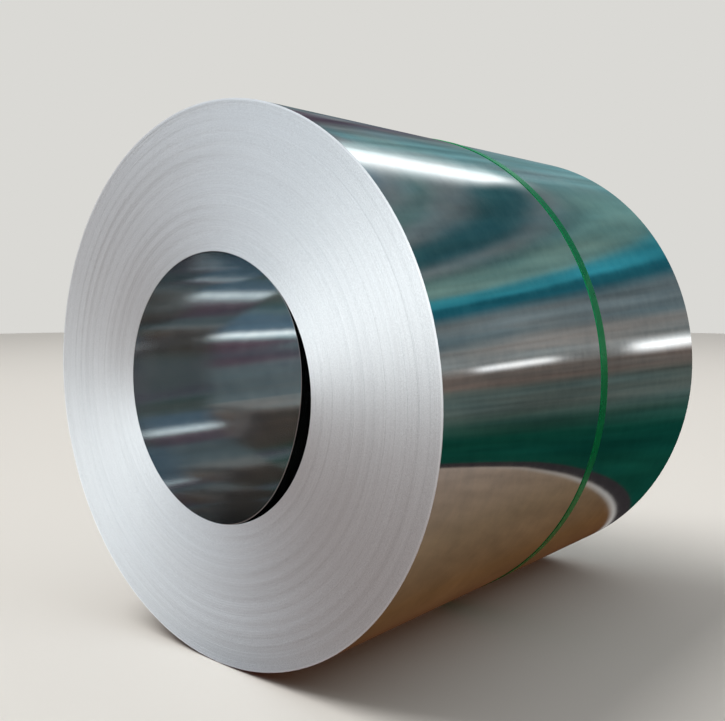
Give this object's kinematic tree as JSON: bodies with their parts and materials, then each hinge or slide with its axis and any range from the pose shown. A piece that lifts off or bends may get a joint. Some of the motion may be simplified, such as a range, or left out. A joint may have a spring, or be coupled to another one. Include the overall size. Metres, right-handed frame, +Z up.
{
  "type": "steel coil",
  "caption": "Wide coil of galvanised steel strip with an open bore for a mandrel or hook, lying on its side and held by one plastic strap.",
  "frame": {"origin": "on the floor, below the middle of the coil as it lies on its side", "axes": "+Z up, +Y along the coil's axis from its front end to its back end, +X to the right"},
  "size_m": [1.052, 1.0023, 1.052],
  "materials": {
    "galvanised_steel": "bright zinc coating, near mirror on the sheet and satin grey on the cut edges of the turns",
    "green_strap": "embossed green polyester strapping, semi-gloss"
  },
  "bodies": {
    "root": {"steel_coil": "galvanised_steel", "strap": "green_strap"}
  },
  "joints": []
}
